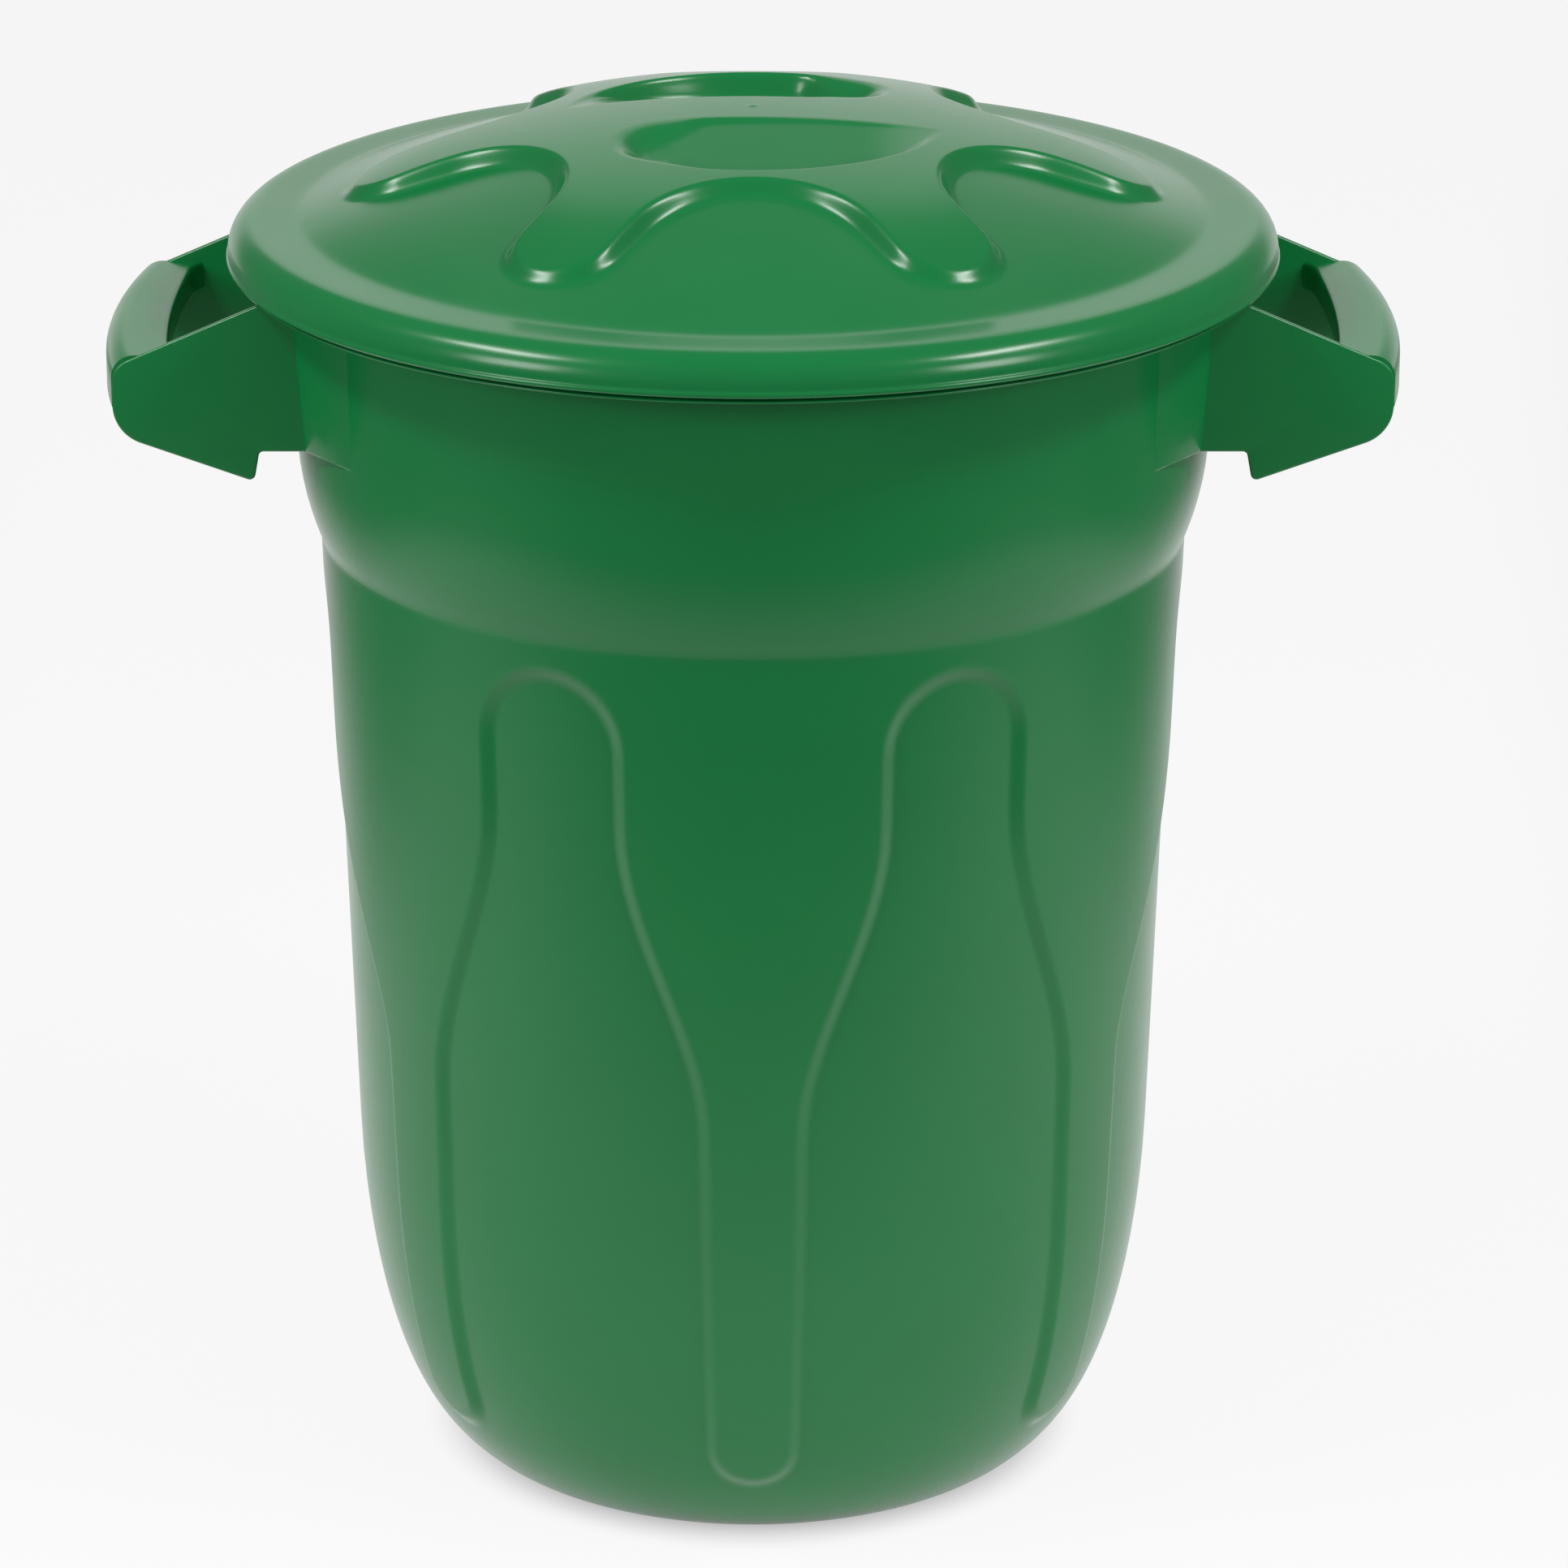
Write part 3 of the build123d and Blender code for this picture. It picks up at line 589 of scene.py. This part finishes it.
handlePieces = {}
for name, side in (("leftHandleMoulding", -1), ("rightHandleMoulding", 1)):
    handlePieces[name] = pieceFrom(name, *handleMesh(handle, side), tubPlastic)
    outwardNormals(handlePieces[name])
    handlePieces[name].data.set_sharp_from_angle(angle=math.radians(40))
print("handles made")


# Lid
lid = {
    "wall": 2.8, "annulusHeight": 687.0, "annulusInner": 238.0, "annulusSoft": 0.9,
    "shoulderMiddle": (258.5, 671.0), "shoulderRadius": 16.0, "skirtLow": 666.2, "skirtBead": 0.8,
    "domeSlope": 0.345, "domeBend": 2.0e-4,
    "crownHeight": 743.0, "crownSquare": 6.37e-4, "crownFourth": 7.2e-9,
    "skirtWall": 1.4,       # the wall thins towards the skirt's foot
    "joinRadius": 225.0, "columns": 480,
}
star = {
    "lobes": (31.5, 90.0, 148.5, 211.5, 270.0, 328.5),
    "reach": 208.0, "sideReach": 212.0, "halfWidth": 29.0,
    "frontValley": 115.0, "sideValley": 121.0, "stepWidth": 10.5, "footShare": 0.56,
}
scoop = {
    "bar": 21.0, "radius": 101.5, "end": 74.0, "endRound": 32.0, "endWall": 26.0,
    "slope": 0.27, "tipSlope": 0.10, "endDrop": 2.5, "stepWidth": 8.0, "lead": 1.3,
    "gateRadius": 2.2, "gateHeight": 0.5,
}
spacing = {
    "pitch": 5.2, "shift": 0.37,    # loose lattice between the steps, moved off the axes of symmetry
    # how far it keeps from the lid's ring, each step and the gate mark; scoops: outside, inside
    "joinGap": 4.0, "borderGap": 2.5, "starGap": 10.5, "scoopGap": (8.0, 23.5), "gateGap": 9.0,
}


def lobePoint(azimuth, along, across):
    a = math.radians(azimuth)
    return (along * math.sin(a) + across * math.cos(a), -along * math.cos(a) + across * math.sin(a))


def arcThrough(first, middle, last, step):
    # points of the circle arc through three places, without its last one
    a, b, c = [np.array(p, float) for p in (first, middle, last)]
    d = 2 * (a[0] * (b[1] - c[1]) + b[0] * (c[1] - a[1]) + c[0] * (a[1] - b[1]))
    ux = ((a @ a) * (b[1] - c[1]) + (b @ b) * (c[1] - a[1]) + (c @ c) * (a[1] - b[1])) / d
    uy = ((a @ a) * (c[0] - b[0]) + (b @ b) * (a[0] - c[0]) + (c @ c) * (b[0] - a[0])) / d
    centre = np.array([ux, uy])
    angles = [math.atan2(*(p - centre)[::-1]) for p in (a, b, c)]
    turn = [(angles[k + 1] - angles[k] + math.pi) % (2 * math.pi) - math.pi for k in (0, 1)]
    total, radius = sum(turn), np.linalg.norm(a - centre)
    count = max(4, int(abs(total) * radius / step))
    return [centre + radius * np.array([math.cos(angles[0] + total * t), math.sin(angles[0] + total * t)])
            for t in np.arange(count) / count]


def straightRun(first, last, step):
    first, last = np.array(first, float), np.array(last, float)
    count = max(2, int(np.linalg.norm(last - first) / step))
    return [first + (last - first) * t for t in np.arange(count) / count]


def starOutline(sizes, step):
    half, lobes, outline = sizes["halfWidth"], sizes["lobes"], []
    reach = [sizes["sideReach"] if a in (90.0, 270.0) else sizes["reach"] for a in lobes]
    for i, azimuth in enumerate(lobes):
        following = lobes[(i + 1) % 6] + (360 if i == 5 else 0)
        valley, spread = (azimuth + following) / 2, (following - azimuth) / 2
        crest = sizes["frontValley"] if valley in (180.0, 360.0) else sizes["sideValley"]
        s = math.sin(math.radians(spread))
        centre = crest + (crest * s - half) / (1 - s)
        start = centre * math.cos(math.radians(spread))
        tip, nextTip = reach[i] - half, reach[(i + 1) % 6] - half
        outline += arcThrough(lobePoint(azimuth, tip, -half), lobePoint(azimuth, tip + half, 0),
                              lobePoint(azimuth, tip, half), step)
        valleyIn, valleyOut = lobePoint(azimuth, start, half), lobePoint(following, start, -half)
        outline += straightRun(lobePoint(azimuth, tip, half), valleyIn, step)
        outline += arcThrough(valleyIn, lobePoint(valley, crest, 0), valleyOut, step)
        outline += straightRun(valleyOut, lobePoint(following, nextTip, -half), step)
    return np.array(outline)


def scoopOutline(sizes, step):
    # front scoop, anticlockwise from its blunt end along the outer arc, and back along the bar
    radius, bar, end, round_ = sizes["radius"], sizes["bar"], sizes["end"], sizes["endRound"]
    lower = np.array([round_ - end, -math.sqrt((radius - round_) ** 2 - (end - round_) ** 2)])
    touch = lower * radius / np.linalg.norm(lower)
    tipX = math.sqrt(radius ** 2 - bar ** 2)
    outline = arcThrough(touch, (0, -radius), (tipX, -bar), step)
    outline += straightRun((tipX, -bar), (round_ - end, -bar), step)
    upper = np.array([round_ - end, -bar - round_])
    diagonal = np.array([-0.7071, 0.7071])
    outline += arcThrough((upper[0], -bar), upper + round_ * diagonal, (-end, upper[1]), step)
    outline += straightRun((-end, upper[1]), (-end, lower[1]), step)
    bend = np.array([-1.0, 0]) + touch / radius
    outline += arcThrough((-end, lower[1]), lower + round_ * bend / np.linalg.norm(bend), touch, step)
    return np.array(outline)


def signedDistance(points, outline):
    # distance to a closed outline, positive inside it
    start, end = outline, np.roll(outline, -1, 0)
    best, inside = np.full(len(points), 1e9), np.zeros(len(points), bool)
    for a, b in zip(start, end):
        edge = b - a
        t = np.clip(((points - a) @ edge) / (edge @ edge), 0, 1)
        best = np.minimum(best, np.linalg.norm(points - a - t[:, None] * edge, axis=1))
        if a[1] != b[1]:
            crosses = (points[:, 1] >= min(a[1], b[1])) & (points[:, 1] < max(a[1], b[1]))
            inside ^= crosses & (points[:, 0] < a[0] + (points[:, 1] - a[1]) * edge[0] / edge[1])
    return np.where(inside, best, -best)


def softStep(distance, width, foot=0.5):
    # rises from 0 to 1 about distance 0; a foot over a half gives it a longer foot and a crisper top
    t = np.clip(distance / width + 0.5, 0, 1) ** (math.log(0.5) / math.log(foot))
    return t * t * t * (t * (6 * t - 15) + 10)


def crownAt(radius):
    return lid["crownHeight"] - lid["crownSquare"] * radius ** 2 - lid["crownFourth"] * radius ** 4


def lidHeights(points, starEdge, scoopEdge):
    radius = np.linalg.norm(points, axis=1)
    inset = lid["annulusInner"] - radius
    rise = lid["domeSlope"] * inset - lid["domeBend"] * inset * np.abs(inset)
    dome = lid["annulusHeight"] + 0.5 * (rise + np.sqrt(rise ** 2 + lid["annulusSoft"] ** 2))
    step = softStep(signedDistance(points, starEdge), star["stepWidth"], star["footShare"])
    height = dome + (crownAt(radius) - dome) * step
    for turn in (1, -1):
        own = points * turn
        near = np.abs(own[:, 1] + scoop["bar"] + 40) < 60
        into = np.full(len(points), -1e9)
        into[near] = signedDistance(own[near], scoopEdge)
        along = np.clip((own[:, 0] + scoop["end"]) / (1.9 * scoop["end"]), 0, 1)
        floor = crownAt(np.hypot(own[:, 0], scoop["bar"])) - scoop["endDrop"] * (1 - along) ** 1.5
        slope = scoop["slope"] + (scoop["tipSlope"] - scoop["slope"]) * softStep(own[:, 0] - 75, 50)
        floor -= slope * np.clip(-own[:, 1] - scoop["bar"], 0, None)
        # the wall falls from the outline inwards, and is wide and soft at the blunt end
        width = scoop["stepWidth"] + (scoop["endWall"] - scoop["stepWidth"]) * softStep(-own[:, 0] - 35, 30)
        height += np.minimum(floor - height, 0) * softStep(into + scoop["lead"] - width / 2, width)
    return height + scoop["gateHeight"] * np.exp(-(radius / scoop["gateRadius"]) ** 4)


def alongside(outline, distances, tolerance):
    # points that follow an outline at several distances, less those where its corners fold them over
    before, after = outline - np.roll(outline, 1, 0), np.roll(outline, -1, 0) - outline
    tangent = unit(unit(before) + unit(after))
    area = np.sum(outline[:, 0] * np.roll(outline[:, 1], -1) - np.roll(outline[:, 0], -1) * outline[:, 1])
    inward = np.stack([-tangent[:, 1], tangent[:, 0]], 1) * (1 if area > 0 else -1)
    kept = []
    for distance in distances:
        moved = outline + inward * distance
        kept.append(moved[np.abs(signedDistance(moved, outline) - distance) < tolerance])
    return np.concatenate(kept)


def lidPlan(starEdge, scoopEdge):
    # plan of the lid inside its flat ring: rows along each step, a loose lattice elsewhere
    wide = [-9, -7, -5.25, -4.2, -3.2, -2.2, -1.2, -0.2, 0.8, 1.8, 2.8, 3.7, 4.5, 5.25, 7.5]
    close = [-5.5, -3.4, -2, -1.3, -0.4, 0.5, 1.4, 2.3, 3.3, 4.4, 5.6, 6.7, 8.6, 11, 13.5, 16, 18.5, 21]
    rows = [alongside(starEdge, wide, 0.1)]
    scoopRows = alongside(scoopEdge, close, 0.1)
    rows += [scoopRows, -scoopRows]
    pitch, join = spacing["pitch"], lid["joinRadius"]
    count = int(2 * join / pitch) + 2
    lattice = [((i + 0.5 * (j % 2)) * pitch, j * pitch * 0.866)
               for i in range(-count // 2, count // 2) for j in range(-count // 2 - 12, count // 2 + 12)]
    lattice = np.array(lattice) + spacing["shift"]
    lattice = lattice[np.linalg.norm(lattice, axis=1) < join - spacing["joinGap"]]
    clear = np.abs(signedDistance(lattice, starEdge)) > spacing["starGap"]
    for turn in (1, -1):
        into = signedDistance(lattice * turn, scoopEdge)
        clear &= (into < -spacing["scoopGap"][0]) | (into > spacing["scoopGap"][1])
    clear &= np.linalg.norm(lattice, axis=1) > spacing["gateGap"]
    rows.append(lattice[clear])
    for radius, number in ((0.01, 1), (0.9, 8), (1.7, 12), (2.4, 16), (3.2, 20), (4.6, 20), (6.8, 20)):
        turn = np.arange(number) / number * 2 * math.pi
        rows.append(radius * np.stack([np.sin(turn), np.cos(turn)], 1))
    turn = np.arange(lid["columns"]) / lid["columns"] * 2 * math.pi
    border = join * np.stack([np.sin(turn), -np.cos(turn)], 1)
    inner = np.concatenate(rows)
    inner = inner[np.linalg.norm(inner, axis=1) < join - spacing["borderGap"]]
    plan = np.concatenate([border, inner])
    result = delaunay_2d_cdt([Vector(p) for p in plan], [], [], 0, 1e-4)
    vertices = np.array([tuple(v) for v in result[0]])
    origins = result[3]
    order = {origin[0]: i for i, origin in enumerate(origins) if origin}
    return vertices, [list(face) for face in result[2]], [order[k] for k in range(lid["columns"])]


def lidShell():
    starEdge, scoopEdge = starOutline(star, 2.6), scoopOutline(scoop, 2.2)
    plan, faces, border = lidPlan(starEdge, scoopEdge)
    top = np.column_stack([plan, lidHeights(plan, starEdge, scoopEdge)])
    for face in faces:
        a, b, c = plan[face[0]], plan[face[1]], plan[face[2]]
        if (b[0] - a[0]) * (c[1] - a[1]) - (b[1] - a[1]) * (c[0] - a[0]) < 0:
            face.reverse()
    # ring, shoulder and skirt go on outwards from the border with the same columns
    radii = np.array([228.5, 231.5, 234, 236, 237.4, 238.8, 240.4, 243, 247, 253])
    ring = np.column_stack([radii, lidHeights(np.column_stack([radii * 0, -radii]), starEdge, scoopEdge)])
    middle, bend = lid["shoulderMiddle"], lid["shoulderRadius"]
    side = middle[0] + bend
    edge = [(side + lid["skirtBead"] * out, lid["skirtLow"] + up) for out, up in (
        (0, 3.6), (0.3, 3.1), (0.75, 2.6), (1, 1.9), (1, 1.3), (0.7, 0.6), (0.1, 0.15), (-0.8, 0))]
    profile = [tuple(p) for p in ring] + [tuple(p) for p in arc(middle, bend, 90, 0, 13)] + edge
    turn = np.arange(lid["columns"]) / lid["columns"] * 2 * math.pi
    points, last = [tuple(p) for p in top], border
    for radius, height in profile:
        here = list(range(len(points), len(points) + lid["columns"]))
        points += [(radius * math.sin(a), -radius * math.cos(a), height) for a in turn]
        for i in range(lid["columns"]):
            k = (i + 1) % lid["columns"]
            faces.append([last[i], here[i], here[k], last[k]])
        last = here
    return np.array(points), faces, last


def closedShell(points, faces, rim, wall, rimWall):
    # gives the skin its wall: the same faces again, one wall thickness in, joined round the rim
    normals = np.zeros_like(points)
    for face in faces:
        a, b, c = points[face[0]], points[face[1]], points[face[2]]
        flat = np.cross(b - a, c - a)
        for v in face:
            normals[v] += flat
    inner = points - wall * unit(normals)
    inner[rim] = points[rim]
    inner[rim, :2] *= (1 - (wall - rimWall) / np.linalg.norm(points[rim, :2], axis=1))[:, None]
    count = len(points)
    inside = [[v + count for v in face[::-1]] for face in faces]
    joined = [[rim[i], rim[i] + count, rim[(i + 1) % len(rim)] + count, rim[(i + 1) % len(rim)]]
              for i in range(len(rim))]
    return np.concatenate([points, inner]), faces + inside + joined


lidPoints, lidFaces, lidRim = lidShell()
lidClosed = closedShell(lidPoints, lidFaces, lidRim, lid["wall"], lid["skirtWall"])
lidPiece = pieceFrom("lidShell", *lidClosed, lidPlastic)
print("lid made,", len(lidPiece.data.polygons), "faces")


# Bodies
for piece, body, node, slot in (
        (tubPiece, "tub", "tub", "tub_plastic"),
        (handlePieces["leftHandleMoulding"], "tub", "left_handle", "tub_plastic"),
        (handlePieces["rightHandleMoulding"], "tub", "right_handle", "tub_plastic"),
        (lidPiece, "lid", "lid", "lid_plastic")):
    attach(piece, body)
    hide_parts(node)


# Studio: pale floor that rises far behind, with painted shade in front and at the sides, and
# a softbox pair high at the sides and a wider pair in front
studio = {
    "floorColour": "#f2f2f2", "backColour": "#ffffff", "backShare": 0.88, "fillStrength": 0.25,
    # metres: where the pale floor starts and ends turning to painted shade, in front and beside the bin
    "frontShade": "#898989", "frontStart": -0.35, "frontEnd": -1.25,
    "sideShade": "#7e7e7e", "sideStart": 0.46, "sideEnd": 1.4,
    # the pale strip widens evenly between two places: along which axis, where they are, and by how much
    "widening": (("Y", 0.0, 8.0, 0.84), ("Y", 2.5, 6.0, 2.6), ("Z", 0.5, 4.0, -2.0), ("Y", 0.6, -0.3, 0.6)),
    "contactShade": "#707070", "contactStart": 0.12, "contactEnd": 0.185,     # a painted shadow close under the bin's foot
    "halfWidth": 14.0, "frontEdge": -14.0, "backEdge": 5.0, "backRise": 3.0, "backTop": 8.5,
    # azimuth, elevation, distance (m), width, height (m), watts
    "high": (67, 51, 2.6, 0.85, 0.3, 18),
    "front": (50, 22, 2.6, 0.7, 0.7, 13.5),
}


def softboxPair(name, azimuth, elevation, distance, width, height, power):
    aim, a, e = Vector((0, 0, 0.4)), math.radians(azimuth), math.radians(elevation)
    for side, word in ((-1, "Left"), (1, "Right")):
        lamp = bpy.data.lights.new(name + word, "AREA")
        lamp.shape, lamp.size, lamp.size_y, lamp.energy = "RECTANGLE", width, height, power
        box = bpy.data.objects.new(name + word, lamp)
        away = Vector((side * math.sin(a) * math.cos(e), -math.cos(a) * math.cos(e), math.sin(e)))
        box.location = aim + distance * away
        box.rotation_euler = away.to_track_quat("Z", "Y").to_euler()
        scene.collection.objects.link(box)


softboxPair("highBox", *studio["high"])
softboxPair("frontBox", *studio["front"])

world = bpy.data.worlds.new("studioWorld")
scene.world = world
world.use_nodes = True
world.node_tree.nodes.clear()
fill = addNode(world.node_tree, "ShaderNodeBackground", {}, {
    "Color": toLinear("#ffffff"), "Strength": studio["fillStrength"]})
addNode(world.node_tree, "ShaderNodeOutputWorld", {}, {"Surface": fill.outputs[0]})


def studioPaint():
    # rays from the camera, off gloss and through glass meet mostly the plain colour, so that the
    # floor runs out evenly apart from its painted shade; the rest of it takes light and the bin's shadow
    material = bpy.data.materials.new("paleStudioFloor")
    material.use_nodes = True
    tree = material.node_tree
    tree.nodes.clear()
    where = addNode(tree, "ShaderNodeTexCoord").outputs["Object"]
    split = addNode(tree, "ShaderNodeSeparateXYZ", {}, {0: where})
    across = addMath(tree, "ABSOLUTE", split.outputs["X"])
    for axis, start, end, wider in studio["widening"]:
        wide = addRange(tree, "SMOOTHSTEP", split.outputs[axis], start, end, 0.0, wider)
        across = addMath(tree, "SUBTRACT", across, wide)
    ground = addNode(tree, "ShaderNodeVectorMath", {"operation": "LENGTH"}, {0: where})
    colours = [toLinear(studio["floorColour"]), toLinear(studio["backColour"])]
    # painted shade: each zone mixes a grey into the lit and the plain colour alike, in front, at the sides, and
    # as a painted shadow close under the bin's foot
    for value, shade, dark, light in (
            (split.outputs["Y"], "frontShade", "frontEnd", "frontStart"),
            (across, "sideShade", "sideEnd", "sideStart"),
            (ground.outputs["Value"], "contactShade", "contactStart", "contactEnd")):
        pale = addRange(tree, "SMOOTHSTEP", value, studio[dark], studio[light])
        colours = [addNode(tree, "ShaderNodeMix", {"data_type": "RGBA"}, {
            "Factor": pale, "A": toLinear(studio[shade]), "B": colour}).outputs["Result"]
            for colour in colours]
    paint = addNode(tree, "ShaderNodeBsdfDiffuse", {}, {"Color": colours[0]})
    plain = addNode(tree, "ShaderNodeEmission", {}, {"Color": colours[1], "Strength": 1.0})
    rays = addNode(tree, "ShaderNodeLightPath")
    seen = addMath(tree, "MAXIMUM", rays.outputs["Is Camera Ray"], rays.outputs["Is Glossy Ray"])
    seen = addMath(tree, "MAXIMUM", seen, rays.outputs["Is Transmission Ray"])
    share = addMath(tree, "MULTIPLY", seen, studio["backShare"])
    both = addNode(tree, "ShaderNodeMixShader", {}, {
        "Fac": share, 1: paint.outputs[0], 2: plain.outputs[0]})
    addNode(tree, "ShaderNodeOutputMaterial", {}, {"Surface": both.outputs[0]})
    return material


def studioSheet():
    # flat to the back edge, then up in a quarter circle and on upright
    back, rise, half = studio["backEdge"], studio["backRise"], studio["halfWidth"]
    section = [(studio["frontEdge"], 0)] + [(back + y, rise + z) for y, z in arc((0, 0), rise, -90, 0, 13)]
    section += [(back + rise, studio["backTop"])]
    mesh = bpy.data.meshes.new("studioFloor")
    corners = [(x, y, z) for y, z in section for x in (-half, half)]
    mesh.from_pydata(corners, [], [(k, k + 1, k + 3, k + 2) for k in range(0, len(corners) - 2, 2)])
    mesh.polygons.foreach_set("use_smooth", [True] * len(mesh.polygons))
    mesh.materials.append(studioPaint())
    sheet = bpy.data.objects.new("studioFloor", mesh)
    scene.collection.objects.link(sheet)
    return sheet


studioSheet()

scene.view_settings.view_transform = "Standard"
bpy.context.view_layer.update()
print("studio lit")
